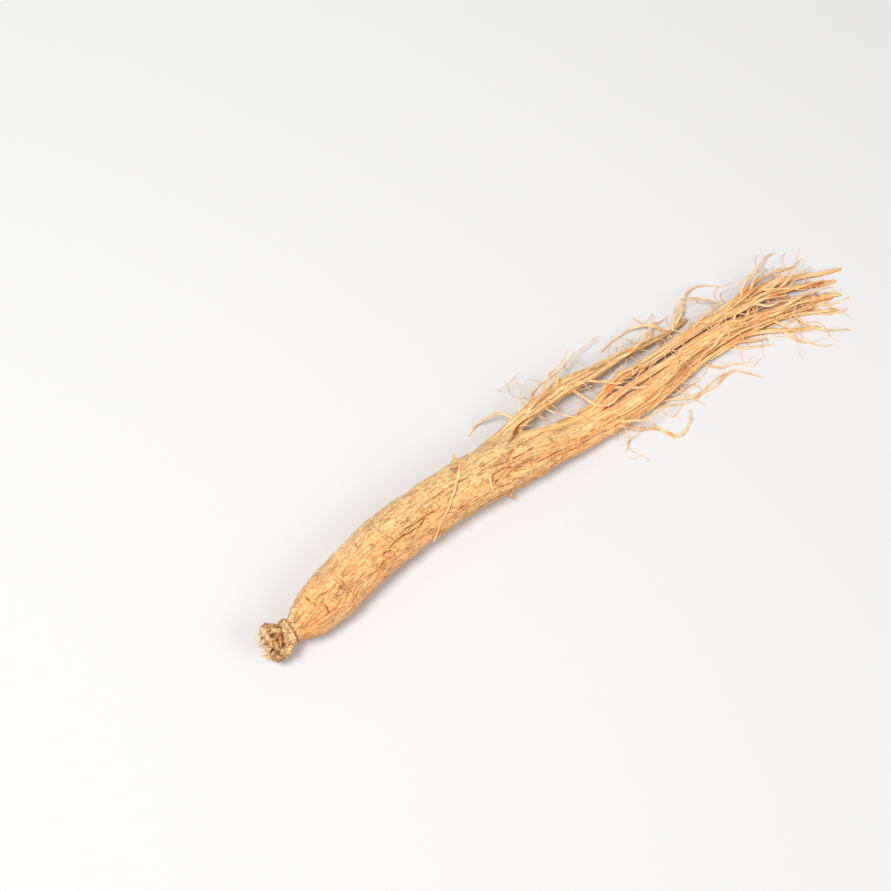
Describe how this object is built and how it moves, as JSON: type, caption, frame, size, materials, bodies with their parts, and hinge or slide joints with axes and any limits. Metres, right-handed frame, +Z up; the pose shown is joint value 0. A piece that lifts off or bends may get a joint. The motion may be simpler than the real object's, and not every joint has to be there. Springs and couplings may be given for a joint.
{
  "type": "ginseng root",
  "caption": "Dried white ginseng root lying on its side: wrinkled trunk, knotted stem stub, forked legs that fray into fine rootlets.",
  "frame": {"origin": "middle of the bounding box on the surface that the root lies on", "axes": "+X along the root from its head to the rootlet tips, +Z up from the surface it lies on"},
  "size_m": [0.2648, 0.0514, 0.021],
  "materials": {
    "root_skin": "dry pale tan bark with orange-brown creases, matt"
  },
  "bodies": {
    "root": {"ginseng_root": "root_skin"}
  },
  "joints": []
}
